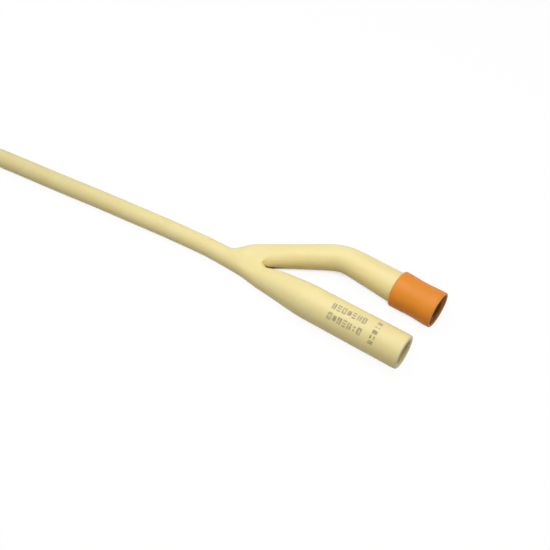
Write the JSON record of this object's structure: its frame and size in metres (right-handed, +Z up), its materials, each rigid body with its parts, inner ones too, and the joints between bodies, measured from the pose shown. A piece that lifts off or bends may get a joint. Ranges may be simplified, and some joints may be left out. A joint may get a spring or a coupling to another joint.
{
  "type": "foley urinary catheter",
  "caption": "Two-way urinary catheter: latex Y funnel with an open drainage mouth, inflation arm with a coloured valve sleeve, long shaft folded back to a retaining balloon and a tip with eyes.",
  "frame": {"origin": "on the surface that the catheter lies on, under the middle of the funnel and its valve, the free shaft left out", "axes": "+X along the drainage funnel towards its mouth, +Y from the drainage funnel towards the inflation arm, +Z up from the surface"},
  "size_m": [0.2811, 0.0517, 0.0103],
  "materials": {
    "latex": "satin",
    "balloon_latex": "satin",
    "valve_rubber": "matte",
    "plug_rubber": "matte"
  },
  "bodies": {
    "root": {"funnel_body": "latex", "shaft_tube": "latex", "catheter_tip": "latex", "balloon": "balloon_latex", "valve_sleeve": "valve_rubber", "valve_plug": "plug_rubber"}
  },
  "joints": []
}
